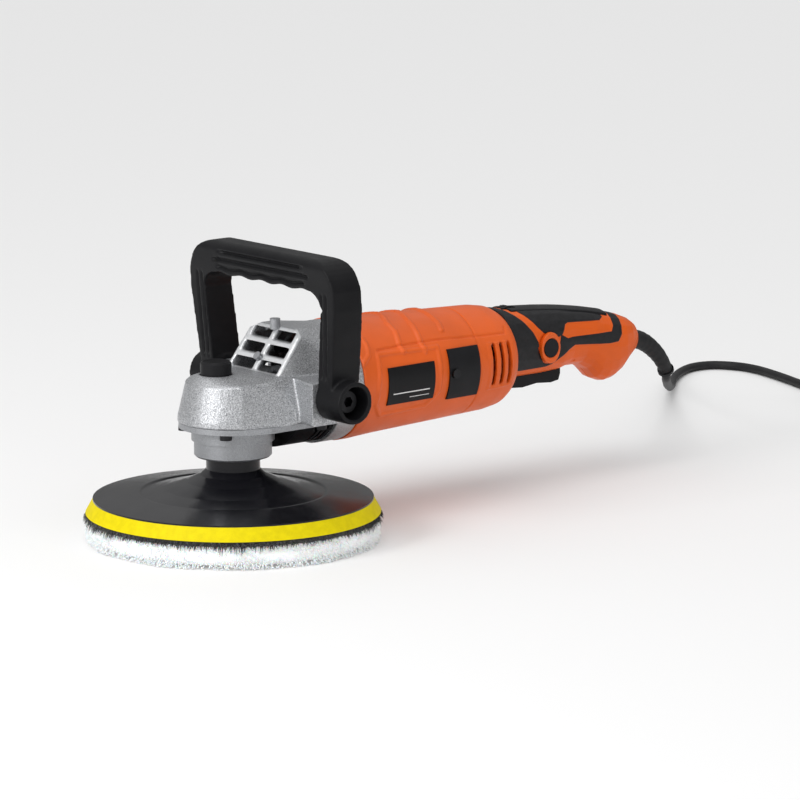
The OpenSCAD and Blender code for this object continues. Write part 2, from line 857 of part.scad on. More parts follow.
module speed_dial() {
    color(BLACK) along_y(dial_x, axis_z + dial_up) difference() {
        cylinder(r = dial_r, h = 7, center = true);
        around(24) translate([dial_r, 0, 0]) cylinder(r = 0.5, h = 9, center = true, $fn = 16);
    }
}

module cable_clamp() {
    color(GREY) translate([298, -8, axis_z - 9]) difference() {
        cube([8, 16, 14]);
        translate([-1, 8, 8]) rotate([0, 90, 0]) cylinder(r = cord_d / 2, h = 12);
    }
}

module trigger() {
    color(BLACK) difference() {
        translate([0, 9, axis_z]) rotate([90, 0, 0]) linear_extrude(18) polygon([
            [208, -12], [208, -19.5], [214, -21.5], [226, -22.4], [238, -21], [250, -22], [256.5, -21],
            [258, -17], [258, -13.6], [250, -12.8], [218, -12.8], [214, -9.4], [209, -9.4]
        ]);
        along_y(pivot_x, pivot_z) cylinder(r = 1.55, h = 60, center = true, $fn = 32);
    }
}

module trigger_pin() {
    color(STEEL) along_y(pivot_x, pivot_z) cylinder(r = 1.5, h = 36, center = true, $fn = 32);
}

module trigger_spring() {
    color(STEEL) translate([236, 0, axis_z - 12.6]) ring(2, 2.8, 5.4);
}

module lock_on_button() {
    color(BLACK) along_y(button_x, axis_z + button_up) translate([0, 0, 13]) cylinder(r = 5.9, h = 9.2);
}

// ---------- mains lead ----------

module strain_relief() {
    path = [for (p = RELIEF) p[0]];
    color(BLACK) skin([for (i = [0:len(path) - 1]) tube_ring(path, i, RELIEF[i][1], 24)]);
}

module power_cord() {
    color(BLACK) tube(smooth_path(ROUTE, 2), cord_d / 2);
    color(BLACK) tube(TAIL, cord_d / 2);
}

module cord_coil() {
    half = cord_d - 0.6;
    color(BLACK) translate([coil_x, coil_y, 0]) turned_z([
        [coil_r - half, coil_gap + 1.5], [coil_r - half + 1.5, coil_gap],
        [coil_r + half - 1.5, coil_gap], [coil_r + half, coil_gap + 1.5],
        [coil_r + half, coil_top - 1.5], [coil_r + half - 1.5, coil_top],
        [coil_r - half + 1.5, coil_top], [coil_r - half, coil_top - 1.5]
    ]);
}

module coil_tie() {
    color(GREY) translate([coil_x + coil_r, coil_y, 0]) difference() {
        translate([-8.2, -7, 0]) cube([16.4, 14, coil_top + 0.8]);
        translate([-7.4, -8, coil_gap]) cube([14.8, 16, coil_top - coil_gap]);
    }
}

module plug_body() {
    color(BLACK) intersection() {
        translate([595, plug_y, plug_z]) rotate([90, 0, 0]) rotate_extrude() polygon([
            [0, 0], [5, 0], [7, 9], [plug_r - 1.5, 17], [plug_r, 19], [plug_r, plug_len], [0, plug_len]
        ]);
        translate([560, plug_y - 60, 0]) cube([70, 70, 2 * plug_z]);
    }
}

module plug_pins() {
    color(STEEL) for (s = [-1, 1])
        translate([595 + s * pin_gap / 2, plug_y - plug_len, plug_z]) rotate([90, 0, 0])
            cylinder(r = pin_r, h = pin_len);
}

wool_pad();
loop_disc();
foam_ring();
backing_plate();
spindle();
crown_gear();
gear_housing();
bearing_flange();
flange_screws();
dust_collar();
dust_seal();
spindle_bearing();
spindle_bush();
exhaust_shroud();
dome_screws();
bail_handle();
bail_bolts();
lock_button();
lock_spring();
motor_housing();
housing_screws();
front_bearing();
rear_bearing();
air_baffle();
stator_core();
field_coils();
armature_shaft();
pinion();
armature_core();
armature_windings();
commutator();
cooling_fan();
brush_holders();
carbon_brushes();
brush_springs();
brush_covers();
brush_cover_screws();
name_plates();
handle_shell_left();
handle_shell_right();
handle_grip();
button_ring();
handle_screws();
switch_body();
speed_module();
speed_dial();
cable_clamp();
trigger();
trigger_pin();
trigger_spring();
lock_on_button();
strain_relief();
power_cord();
cord_coil();
coil_tie();
plug_body();
plug_pins();
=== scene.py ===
"""Looks of the rotary polisher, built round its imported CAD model. Lengths here are in millimetres."""

import math

import bmesh
import bpy
import numpy as np
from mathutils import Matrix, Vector, noise


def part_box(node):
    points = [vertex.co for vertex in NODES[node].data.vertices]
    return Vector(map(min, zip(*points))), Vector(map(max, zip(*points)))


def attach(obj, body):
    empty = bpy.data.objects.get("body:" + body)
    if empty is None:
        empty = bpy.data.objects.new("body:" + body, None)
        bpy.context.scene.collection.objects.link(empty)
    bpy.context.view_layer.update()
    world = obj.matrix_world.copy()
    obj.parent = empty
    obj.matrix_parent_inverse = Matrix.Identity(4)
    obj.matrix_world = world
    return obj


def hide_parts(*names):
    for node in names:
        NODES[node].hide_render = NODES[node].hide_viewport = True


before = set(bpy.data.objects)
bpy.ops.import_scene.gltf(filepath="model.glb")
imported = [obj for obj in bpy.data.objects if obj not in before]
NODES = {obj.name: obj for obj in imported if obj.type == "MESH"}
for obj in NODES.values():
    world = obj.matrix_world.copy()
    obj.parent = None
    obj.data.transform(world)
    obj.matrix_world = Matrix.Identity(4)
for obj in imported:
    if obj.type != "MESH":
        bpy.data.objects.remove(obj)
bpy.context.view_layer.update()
MM = 0.001
AXIS_Z = 90.0
TAU = 2 * math.pi
FAR = 1e9
WELD_M = 2e-6


# ---------- small tools ----------


def smooth_path(points, steps):
    """Catmull-Rom points through a list of points."""
    p = np.array(points, float)
    out = []
    for i in range(len(p) - 1):
        a, b, c, d = p[max(i - 1, 0)], p[i], p[i + 1], p[min(i + 2, len(p) - 1)]
        for t in np.arange(steps) / steps:
            square, cube = 2 * a - 5 * b + 4 * c - d, 3 * b - a - 3 * c + d
            out.append(0.5 * (2 * b + (c - a) * t + square * t**2 + cube * t**3))
    out.append(p[-1])
    return np.array(out)


def smoothstep(low, high, value):
    """0 below low, 1 above high and a soft step between them."""
    t = np.clip((value - low) / (high - low), 0, 1)
    return t * t * (3 - 2 * t)


def ridge(distance, half_width, soft=0.5):
    """1 within half_width of a line, falling to 0 over the soft distance."""
    return 1 - smoothstep(half_width, half_width + soft, np.abs(distance))


def plateau(value, low, high, soft=0.6):
    """1 between low and high, falling to 0 over the soft distance outside."""
    return smoothstep(low - soft, low, value) * (1 - smoothstep(high, high + soft, value))


def segment_distance(x, z, start, end):
    """Distance to a straight line between two points."""
    (ax, az), (bx, bz) = start, end
    dx, dz = bx - ax, bz - az
    t = np.clip(((x - ax) * dx + (z - az) * dz) / (dx * dx + dz * dz), 0, 1)
    return np.hypot(x - ax - t * dx, z - az - t * dz)


def inside_distance(x, z, outline):
    """Signed distance to a closed outline, positive inside."""
    near = np.full(x.shape, FAR)
    inside = np.zeros(x.shape, bool)
    for (ax, az), (bx, bz) in zip(outline, outline[1:] + outline[:1]):
        near = np.minimum(near, segment_distance(x, z, (ax, az), (bx, bz)))
        crosses = (az > z) != (bz > z)
        with np.errstate(divide="ignore", invalid="ignore"):
            inside ^= crosses & (x < (bx - ax) * (z - az) / (bz - az) + ax)
    return np.where(inside, near, -near)


def mesh_object(name, points, faces):
    """A new object from points in millimetres."""
    mesh = bpy.data.meshes.new(name)
    mesh.from_pydata((np.array(points, float) * MM).tolist(), [], [list(map(int, f)) for f in faces])
    mesh.validate()
    piece = bpy.data.objects.new(name, mesh)
    bpy.context.scene.collection.objects.link(piece)
    return piece


def grid_faces(rows, columns):
    """Faces between rows of points that each close on themselves."""
    faces = []
    for row in range(rows - 1):
        this, after = row * columns, (row + 1) * columns
        for j in range(columns):
            turn = (j + 1) % columns
            faces.append((this + j, this + turn, after + turn, after + j))
    return faces


def skin(name, rings):
    """A closed solid through rings of points, with flat ends."""
    rings = np.array(rings, float)
    rows, columns = rings.shape[:2]
    ends = [list(range(columns))[::-1], [(rows - 1) * columns + j for j in range(columns)]]
    piece = mesh_object(name, rings.reshape(-1, 3), grid_faces(rows, columns) + ends)
    outward(piece)
    return piece


def outward(piece):
    """Turns every face outward."""
    work = bmesh.new()
    work.from_mesh(piece.data)
    bmesh.ops.recalc_face_normals(work, faces=work.faces)
    work.to_mesh(piece.data)
    work.free()


def tube_rings(path, radii, sides):
    """Rings of points square to a path, for skin."""
    path = np.array(path, float)
    rings = []
    for i, point in enumerate(path):
        along = path[min(i + 1, len(path) - 1)] - path[max(i - 1, 0)]
        along /= np.linalg.norm(along)
        across = np.cross(along, (0, 0, 1))
        across /= np.linalg.norm(across)
        up = np.cross(across, along)
        turn = np.arange(sides)[:, None] * TAU / sides
        rings.append(point + radii[i] * (np.cos(turn) * across + np.sin(turn) * up))
    return rings


def bake(piece):
    """Applies the modifiers of a piece."""
    graph = bpy.context.evaluated_depsgraph_get()
    graph.update()
    mesh = bpy.data.meshes.new_from_object(piece.evaluated_get(graph))
    piece.modifiers.clear()
    piece.data = mesh
    return piece


def cad_copy(node, name):
    """A welded copy of a CAD node's mesh, to work on."""
    mesh = NODES[node].data.copy()
    mesh.materials.clear()
    work = bmesh.new()
    work.from_mesh(mesh)
    bmesh.ops.remove_doubles(work, verts=work.verts, dist=WELD_M)
    work.to_mesh(mesh)
    work.free()
    piece = bpy.data.objects.new(name, mesh)
    bpy.context.scene.collection.objects.link(piece)
    return piece


def soften(piece, voxel, repeats, factor=0.5):
    """Rounds every edge a little, as in a casting or moulding."""
    step = piece.modifiers.new("remesh", "REMESH")
    step.mode = "VOXEL"
    step.voxel_size = voxel * MM
    relax = piece.modifiers.new("relax", "SMOOTH")
    relax.factor = factor
    relax.iterations = repeats
    return bake(piece)


def shade(piece, angle=35):
    piece.data.polygons.foreach_set("use_smooth", [True] * len(piece.data.polygons))
    piece.data.set_sharp_from_angle(angle=math.radians(angle))
    return piece


def points_of(piece):
    """A piece's points in millimetres."""
    points = np.empty(len(piece.data.vertices) * 3)
    piece.data.vertices.foreach_get("co", points)
    return points.reshape(-1, 3) / MM


def set_points(piece, points):
    piece.data.vertices.foreach_set("co", (points * MM).ravel())
    piece.data.update()


def store(piece, name, values):
    """Keeps one number per point for the material to use."""
    attribute = piece.data.attributes.new(name, "FLOAT", "POINT")
    attribute.data.foreach_set("value", np.asarray(values, np.float32))


def finish_piece(piece, material, body, replaces=(), angle=35):
    """Gives a piece its material, the body it rides on and the CAD nodes it stands for."""
    piece.data.materials.clear()
    piece.data.materials.append(material)
    if piece.type == "MESH":
        shade(piece, angle)
    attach(piece, body)
    if replaces:
        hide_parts(*replaces)
    return piece


# ---------- materials ----------


# sockets of Blender's mix node that carry colours
MIX_COLOUR_A, MIX_COLOUR_B, MIX_COLOUR_OUT = 6, 7, 2
COAT_ROUGH = 0.12


class Shader:
    """A material with one Principled shader, and short ways to add nodes to it."""

    def __init__(self, name, colour, rough, metal=0.0, coat=0.0, sheen=0.0, specular=0.5):
        self.material = bpy.data.materials.new(name)
        self.material.use_nodes = True
        self.tree = self.material.node_tree
        self.shader = self.tree.nodes["Principled BSDF"]
        self.colour = (*colour, 1)
        self.rough = rough
        self.shader.inputs["Base Color"].default_value = self.colour
        self.shader.inputs["Roughness"].default_value = rough
        self.shader.inputs["Metallic"].default_value = metal
        self.shader.inputs["Coat Weight"].default_value = coat
        self.shader.inputs["Coat Roughness"].default_value = COAT_ROUGH
        self.shader.inputs["Specular IOR Level"].default_value = specular
        self.shader.inputs["Sheen Weight"].default_value = sheen
        self.place = self.node("ShaderNodeTexCoord").outputs["Object"]
        self.normal = None

    def node(self, kind, **values):
        made = self.tree.nodes.new(kind)
        for key, value in values.items():
            if key in made.inputs:
                made.inputs[key].default_value = value
            else:
                setattr(made, key, value)
        return made

    def link(self, out, into):
        self.tree.links.new(out, into)

    def noise(self, scale, detail=3.0, rough=0.6, stretch=(1, 1, 1)):
        """Noise with a feature size of about 1000 / scale millimetres."""
        place = self.node("ShaderNodeMapping")
        place.inputs["Scale"].default_value = stretch
        self.link(self.place, place.inputs["Vector"])
        made = self.node("ShaderNodeTexNoise", Scale=scale, Detail=detail, Roughness=rough)
        self.link(place.outputs[0], made.inputs["Vector"])
        return made.outputs["Fac"]

    def spread(self, fac, low, high, out_low=0.0, out_high=1.0):
        made = self.node("ShaderNodeMapRange")
        for key, value in (("From Min", low), ("From Max", high), ("To Min", out_low), ("To Max", out_high)):
            made.inputs[key].default_value = value
        self.link(fac, made.inputs["Value"])
        return made.outputs["Result"]

    def mix(self, fac, a, b):
        """Mixes two colours, each a plain colour or an output."""
        made = self.node("ShaderNodeMix", data_type="RGBA")
        self.link(fac, made.inputs[0])
        for value, index in ((a, MIX_COLOUR_A), (b, MIX_COLOUR_B)):
            if hasattr(value, "is_linked"):
                self.link(value, made.inputs[index])
            else:
                made.inputs[index].default_value = (*value, 1)
        return made.outputs[MIX_COLOUR_OUT]

    def calculate(self, operation, a, b):
        """Works out one number from two, each a value or an output."""
        made = self.node("ShaderNodeMath", operation=operation)
        for value, index in ((a, 0), (b, 1)):
            if hasattr(value, "is_linked"):
                self.link(value, made.inputs[index])
            else:
                made.inputs[index].default_value = value
        return made.outputs[0]

    def painted(self):
        """The output that the colour comes from."""
        return self.shader.inputs["Base Color"].links[0].from_socket

    def paint(self, colour):
        self.link(colour, self.shader.inputs["Base Color"])
        return self

    def mottle(self, scale, other, low=0.35, high=0.65, **noise_values):
        """Shifts the colour towards another one in soft patches."""
        fac = self.spread(self.noise(scale, **noise_values), low, high)
        return self.paint(self.mix(fac, self.colour[:3], other))

    def uneven(self, scale, amount):
        """Varies the roughness."""
        patches = self.spread(self.noise(scale), 0.3, 0.7, self.rough - amount, self.rough + amount)
        self.link(patches, self.shader.inputs["Roughness"])
        return self

    def bump(self, height, depth, strength=1.0):
        """Adds a bump, depth in millimetres, over the ones there already."""
        made = self.node("ShaderNodeBump")
        made.inputs["Strength"].default_value = strength
        made.inputs["Distance"].default_value = depth * MM
        self.link(height, made.inputs["Height"])
        if self.normal:
            self.link(self.normal, made.inputs["Normal"])
        self.normal = made.outputs["Normal"]
        self.link(self.normal, self.shader.inputs["Normal"])
        return self

    def grain(self, scale, depth, **noise_values):
        return self.bump(self.noise(scale, **noise_values), depth)

    def attribute(self, name):
        made = self.node("ShaderNodeAttribute", attribute_name=name)
        return made.outputs["Fac"]


ORANGE = (0.77, 0.113, 0.007)
SHADED_ORANGE = tuple(0.88 * c for c in ORANGE)
BLACK = (0.009, 0.009, 0.010)
RULE_GREY = (0.75, 0.75, 0.75)
PLATE_RULES = [(82.6, 83.3, 96, 126), (79.4, 79.8, 110, 126)]  # z from and to, x from and to


def plastic(name, colour, other, rough=0.42, depth=0.05, specular=0.4):
    """Moulding with soft patches of another shade and a fine grain."""
    made = Shader(name, colour, rough, specular=specular)
    return made.mottle(25, other).uneven(60, 0.06).grain(2600, depth)


def cast_metal(name, dark, light, rough, depth, scale=1500):
    """Sand-textured casting with bright and dark specks."""
    made = Shader(name, light, rough, metal=0.75)
    speck = made.spread(made.noise(scale, detail=6, rough=0.75), 0.36, 0.64)
    rough_patch = made.spread(made.noise(scale * 0.6, detail=5), 0.3, 0.7, rough - 0.1, rough + 0.14)
    made.paint(made.mix(speck, dark, light))
    made.link(rough_patch, made.shader.inputs["Roughness"])
    return made.grain(scale, depth, detail=6, rough=0.7).grain(260, depth * 0.8)


def head_casting(name):
    """Sand casting, with the front face of its louvres coloured brighter."""
    made = cast_metal(name, (0.13, 0.135, 0.145), (0.74, 0.75, 0.77), 0.38, 0.22)
    bright = made.mix(made.noise(900), (0.80, 0.81, 0.83), (0.93, 0.94, 0.95))
    return made.paint(made.mix(made.attribute("bright_louvres"), made.painted(), bright)).material


def turned_metal(name, colour, rough=0.28, stretch=(1, 1, 60)):
    """Bare metal with fine lines across its stretch."""
    made = Shader(name, colour, rough, metal=1.0)
    made.mottle(120, tuple(0.75 * c for c in colour)).uneven(200, 0.08)
    return made.bump(made.noise(90, stretch=stretch), 0.012)


def two_shot(name):
    """Orange moulding with a black soft overmould where the rubber attribute is positive."""
    made = plastic(name, ORANGE, SHADED_ORANGE, rough=0.4, specular=0.25)
    rubber = made.attribute("rubber")
    black = made.mix(made.spread(made.noise(300), 0.35, 0.65), BLACK, (0.015, 0.015, 0.017))
    made.paint(made.mix(made.spread(rubber, -0.12, 0.12), made.painted(), black))
    made.link(made.spread(rubber, -0.1, 0.1, 0.38, 0.56), made.shader.inputs["Roughness"])
    return made.material


def labelled(name):
    """Blank satin plate with two plain rules."""
    made = plastic(name, BLACK, (0.024, 0.024, 0.028), rough=0.35, depth=0.02, specular=0.14)
    split = made.node("ShaderNodeSeparateXYZ")
    made.link(made.place, split.inputs[0])
    rules = []
    for low, high, x_low, x_high in PLATE_RULES:
        rule = made.calculate("GREATER_THAN", split.outputs["Z"], low * MM)
        sides = [("LESS_THAN", "Z", high), ("GREATER_THAN", "X", x_low), ("LESS_THAN", "X", x_high)]
        for operation, axis, limit in sides:
            side = made.calculate(operation, split.outputs[axis], limit * MM)
            rule = made.calculate("MULTIPLY", rule, side)
        rules.append(rule)
    return made.paint(made.mix(made.calculate("MAXIMUM", *rules), BLACK, RULE_GREY)).material


def ribbed_cloth(name, colour):
    """Woven or looped cloth with fine ribs."""
    made = Shader(name, colour, 0.85, sheen=0.3)
    made.mottle(500, tuple(1.6 * c + 0.01 for c in colour))
    wave = made.node("ShaderNodeTexWave", Scale=900.0, Distortion=1.0)
    made.link(made.place, wave.inputs["Vector"])
    return made.bump(wave.outputs["Fac"], 0.15).grain(1500, 0.1).material


def rubber_material():
    made = Shader("black_rubber", (0.011, 0.011, 0.012), 0.55, specular=0.25)
    return made.mottle(80, (0.017, 0.017, 0.018)).grain(1200, 0.06).material


def foam_material():
    made = Shader("yellow_foam", (0.74, 0.61, 0.0), 0.6, specular=0.14)
    return made.mottle(200, (0.66, 0.54, 0.0)).grain(1500, 0.12).material


def wool_material():
    """White wool, which glows a little so that it stays white in its own shade."""
    made = Shader("lambswool", (0.96, 0.96, 0.955), 0.9, sheen=0.5)
    made.shader.inputs["Subsurface Weight"].default_value = 0.5
    made.shader.inputs["Subsurface Scale"].default_value = 0.006
    made.shader.inputs["Emission Color"].default_value = (1, 1, 0.99, 1)
    made.shader.inputs["Emission Strength"].default_value = 0.12
    return made.mottle(160, (0.92, 0.92, 0.91)).grain(1400, 0.15).grain(350, 0.2).material


MATERIALS = {
    "orange": plastic("orange_moulding", ORANGE, SHADED_ORANGE).material,
    "shells": two_shot("two_shot_moulding"),
    "housing": plastic("ribbed_moulding", ORANGE, SHADED_ORANGE).material,
    "black": plastic(
        "black_moulding", BLACK, (0.014, 0.014, 0.016), rough=0.45, specular=0.14
    ).material,
    "bail": plastic(
        "bail_moulding", (0.006, 0.006, 0.007), (0.010, 0.010, 0.011), rough=0.42, depth=0.07, specular=0.14
    ).material,
    "gloss": plastic(
        "gloss_moulding", (0.006, 0.006, 0.008), (0.009, 0.009, 0.011), rough=0.2, depth=0.02, specular=0.28
    ).material,
    "rubber": rubber_material(),
    "casting": head_casting("sand_casting"),
    "collar": cast_metal(
        "fine_casting", (0.22, 0.225, 0.235), (0.46, 0.47, 0.49), 0.42, 0.08, 2200
    ).material,
    "steel": turned_metal("turned_steel", (0.56, 0.57, 0.59)).material,
    "pins": turned_metal("plated_pins", (0.72, 0.70, 0.64), 0.2).material,
    "screw": turned_metal("dark_screw", (0.035, 0.035, 0.037), 0.4).material,
    "iron": turned_metal("laminated_iron", (0.24, 0.24, 0.25), 0.5, (60, 1, 1)).material,
    "copper": turned_metal("wound_copper", (0.66, 0.27, 0.13), 0.35, (40, 1, 1)).material,
    "plate": labelled("blank_plate"),
    "board": plastic("circuit_board", (0.02, 0.12, 0.05), (0.03, 0.16, 0.07)).material,
    "foam": foam_material(),
    "hook": ribbed_cloth("hook_and_loop", (0.008, 0.008, 0.009)),
    "tie": ribbed_cloth("woven_tie", (0.02, 0.02, 0.022)),
    "wool": wool_material(),
}

CAD_FINISH = {
    "steel": "spindle crown_gear spindle_bearing spindle_bush front_bearing rear_bearing armature_shaft "
    "pinion trigger_pin trigger_spring lock_spring brush_springs",
    "collar": "bearing_flange dust_collar dome_screws",
    "screw": "flange_screws bail_bolts housing_screws brush_cover_screws handle_screws",
    "iron": "stator_core armature_core",
    "copper": "field_coils armature_windings commutator brush_holders",
    "black": "air_baffle cooling_fan carbon_brushes brush_covers switch_body speed_dial cable_clamp "
    "exhaust_shroud lock_button trigger lock_on_button",
    "rubber": "dust_seal",
    "board": "speed_module",
    "plate": "name_plates",
    "gloss": "backing_plate",
    "foam": "foam_ring",
    "hook": "loop_disc",
    "pins": "plug_pins",
}


def dress_cad_nodes():
    """Gives the CAD nodes that stay their materials."""
    for finish, names in CAD_FINISH.items():
        for name in names.split():
            for place in NODES[name].material_slots:
                place.material = MATERIALS[finish]


# ---------- camera and mains lead ----------


CAMERA_PLACE = (-1.7156283, -2.2117747, 0.6218692)
CAMERA_DOWN, CAMERA_YAW = 10.8465, -39.8755
CAMERA_LENS, CAMERA_SENSOR = 211.5, 36


def make_camera():
    """The camera that took the photo, as fitted to it."""
    camera = bpy.data.cameras.new("camera")
    camera.lens = CAMERA_LENS
    camera.sensor_width = CAMERA_SENSOR
    camera.clip_end = 100
    eye = bpy.data.objects.new("camera", camera)
    eye.location = CAMERA_PLACE
    eye.rotation_euler = (math.radians(90 - CAMERA_DOWN), 0, math.radians(CAMERA_YAW))
    bpy.context.scene.collection.objects.link(eye)
    bpy.context.scene.camera = eye


CORD_D = 6.0
RELIEF = [
    (322, 0, 87), (332, 0, 85.5), (341, 0, 81.5), (350, 0, 74.5), (357, 1, 67), (360.5, 2.2, 62.6),
    (360.8, 2.4, 62.2), (362, 3, 60.5),
]
RELIEF_R = [6.2, 6.1, 5.7, 5.2, 4.7, 4.4, 5.4, 5.4]
ROUTE = [
    (362, 3, 60.5), (368, 9, 54.5), (382, 24, 49.5), (402, 45, 43), (424, 68, 36), (448, 93, 28),
    (474, 119, 20), (500, 146, 12.5), (526, 172, 7), (552, 198, 4), (576, 217, 3.2), (597, 227, 3.2),
    (615, 225, 3.2), (626, 210, 3.2), (628, 190, 3.2), (622, 162, 3.2), (613, 132, 3.2), (604, 104, 3.5),
    (595, 71, 3.8),
]
COIL_CENTRE = (634.0, 56.0)
COIL_SLOTS = [(39, 3.8), (33, 3.8), (33, 9.8), (39, 9.8), (39, 15.8), (33, 15.8), (33, 21.8), (39, 21.8)]
COIL_START = (COIL_CENTRE[0] - COIL_SLOTS[0][0], COIL_CENTRE[1], COIL_SLOTS[0][1])
TAIL = [(595, 56, 21.8), (595, 40, 21.8), (595, 28, 19.8), (595, 16, 15), (595, 8, 14)]


def coil_points(steps=40):
    """Eight turns. Each passes to its next place a little earlier than the turn before it, so none cross."""
    points = []
    last = len(COIL_SLOTS) - 1
    for turn in range(len(COIL_SLOTS)):
        here, there = COIL_SLOTS[turn], COIL_SLOTS[min(turn + 1, last)]
        start = 0.9 - 0.1 * turn
        for step in range(steps):
            share = step / steps
            blend = float(smoothstep(start, start + 0.1, share))
            radius, height = (a + (b - a) * blend for a, b in zip(here, there))
            angle = math.pi + TAU * share
            x = COIL_CENTRE[0] + radius * math.cos(angle)
            y = COIL_CENTRE[1] + radius * math.sin(angle)
            points.append((x, y, height))
    return np.array(points)


def make_lead():
    """The strain relief, the lead with its stowed coil and strap, and the plug."""
    relief = smooth_path([(*p, r) for p, r in zip(RELIEF, RELIEF_R)], 8)
    radii = relief[:, 3] + 0.1 * np.cos(relief[:, 0] * TAU / 4) * plateau(relief[:, 0], 336, 356, 3)
    sleeve = skin("strain_relief_sleeve", tube_rings(relief[:, :3], radii, 40))
    finish_piece(sleeve, MATERIALS["rubber"], "housing", ["strain_relief"], 50)

    free = smooth_path([*ROUTE, COIL_START], 6)
    line = np.vstack([free[:-1], coil_points(), smooth_path(TAIL, 6)])
    curve = bpy.data.curves.new("mains_lead", "CURVE")
    curve.dimensions = "3D"
    curve.bevel_depth = CORD_D / 2 * MM
    curve.bevel_resolution = 5
    curve.use_fill_caps = True
    spline = curve.splines.new("POLY")
    spline.points.add(len(line) - 1)
    for place, point in zip(spline.points, line):
        place.co = (*(point * MM), 1)
    lead = bpy.data.objects.new("mains_lead", curve)
    bpy.context.scene.collection.objects.link(lead)
    finish_piece(lead, MATERIALS["rubber"], "housing", ["power_cord", "cord_coil"])

    plug = soften(cad_copy("plug_body", "plug_shell"), 0.5, 6)
    finish_piece(plug, MATERIALS["black"], "housing", ["plug_body"])
    tie = make_tie()


def make_tie():
    """A woven strap round one side of the coil."""
    low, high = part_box("coil_tie")
    low, high = np.array(low) / MM, np.array(high) / MM
    mid_x, mid_z = (low[0] + high[0]) / 2, (low[2] + high[2]) / 2
    half_x, half_z = (high[0] - low[0]) / 2, (high[2] - low[2]) / 2
    # a rounded box seen along the strap, whose low power squares its corners
    steps, square = 48, 0.35
    rings = []
    for turn in np.arange(steps) * TAU / steps:
        across = np.sign(math.cos(turn)) * abs(math.cos(turn)) ** square
        up = np.sign(math.sin(turn)) * abs(math.sin(turn)) ** square
        rings.append(
            [
                (mid_x + (half_x - inset) * across, y, mid_z + (half_z - inset) * up)
                for y, inset in ((low[1], 0.1), (high[1], 0.1), (high[1], 0.75), (low[1], 0.75))
            ]
        )
    points = np.array(rings).reshape(-1, 3)
    corners = 4
    last = (steps - 1) * corners
    closing = [(last + j, last + (j + 1) % corners, (j + 1) % corners, j) for j in range(corners)]
    faces = grid_faces(steps, corners) + closing
    tie = mesh_object("coil_strap", points, faces)
    outward(tie)
    return finish_piece(tie, MATERIALS["tie"], "housing", ["coil_tie"], 30)


# ---------- pad ----------


WOOL_PROFILE = [
    (2, 0.6), (40, 0.6), (70, 0.7), (80, 1.2), (86, 3.4), (88, 7), (87.6, 11), (86, 14), (80, 14.4),
    (50, 14.4),
]


def make_wool():
    """The pile as a lumpy cushion with fine curls standing out of its edge."""
    profile = smooth_path(WOOL_PROFILE, 8)
    turns = 480
    points = []
    for radius, height in profile:
        for turn in np.arange(turns) * TAU / turns:
            where = Vector((radius * math.cos(turn), radius * math.sin(turn), height))
            lump = noise.fractal(where / 7, 1.0, 2.0, 3) * 0.6
            lump += noise.fractal(where / 2.2, 1.0, 2.0, 2) * 0.3
            edge = float(smoothstep(60, 86, radius))
            out = radius + (lump + 0.4) * edge
            points.append((out * math.cos(turn), out * math.sin(turn), max(0.3, height + 0.5 * lump * edge)))
    rings = np.array(points).reshape(len(profile), turns, 3)
    pile = skin("wool_pile", rings)
    finish_piece(pile, MATERIALS["wool"], "spindle", ["wool_pad"], 180)
    curls = strands(
        "wool_curls", 6500, seed=3, radii=(86.6, 88.6), heights=(0.5, 14.4), lengths=(1.4, 3.2),
        thickness=0.62, waves=11,
    )
    finish_piece(curls, MATERIALS["wool"], "spindle", (), 180)
    fringe = strands(
        "loop_fringe", 1500, seed=5, radii=(88.4, 90.0), heights=(14.6, 17.2), lengths=(1.2, 3.0),
        thickness=0.6, waves=5, droop=3.4,
    )
    finish_piece(fringe, MATERIALS["hook"], "spindle", (), 180)


def strands(name, count, seed, radii, heights, lengths, thickness, waves, droop=0.9):
    """Short tapered curls that stand out of a round edge."""
    rng = np.random.default_rng(seed)
    turn = rng.uniform(0, TAU, count)
    radius = rng.uniform(*radii, count)
    height = rng.uniform(*heights, count)
    length = rng.uniform(*lengths, count) * (0.8 + 0.25 * np.sin(waves * turn))
    lean = rng.normal(0, 0.55, count)
    fall = rng.normal(-0.35, 0.5, count)
    outward_way = np.stack([np.cos(turn), np.sin(turn), np.zeros(count)], 1)
    sideways = np.stack([-np.sin(turn), np.cos(turn), np.zeros(count)], 1)
    up = np.array([0.0, 0.0, 1.0])
    start = outward_way * radius[:, None] + up * height[:, None]
    heading = outward_way + sideways * lean[:, None] + up * fall[:, None]
    heading /= np.linalg.norm(heading, axis=1)[:, None]
    points, faces = [], []
    sections, sides = 4, 3
    for k in range(sections):
        share = k / (sections - 1)
        centre = start + heading * (length * share)[:, None]
        centre[:, 2] -= droop * share**2 * length / 3
        centre[:, 2] = np.maximum(centre[:, 2], 0.35)
        width = thickness * (1 - 0.85 * share)
        for side in range(sides):
            angle = side * TAU / sides
            points.append(centre + width * (math.cos(angle) * sideways + math.sin(angle) * up))
    layout = np.stack(points, 1).reshape(-1, 3)
    layout[:, 2] = np.maximum(layout[:, 2], 0.05)
    for i in range(count):
        base = i * sections * sides
        faces += [tuple(base + f for f in face) for face in grid_faces(sections, sides)]
        faces.append((base + 2, base + 1, base))
        faces.append(tuple(base + (sections - 1) * sides + j for j in range(sides)))
    return mesh_object(name, layout, faces)


# ---------- gear head, dome and bail ----------

# the lock button's well and guide, the louvres' foot and top in (x, z), and a cheek's ends in (x, y)
LOCK_X = -12.7
WELL_R = 9.95
WELL_FLOOR = 97.4
GUIDE_R = 3.4
LOUVRE_FOOT = np.array([15.0, 102.0])
LOUVRE_TOP = np.array([32.5, 124.0])
CREASE = (-17.0, 29.5)
CHEEK_END = (20.0, 36.8)


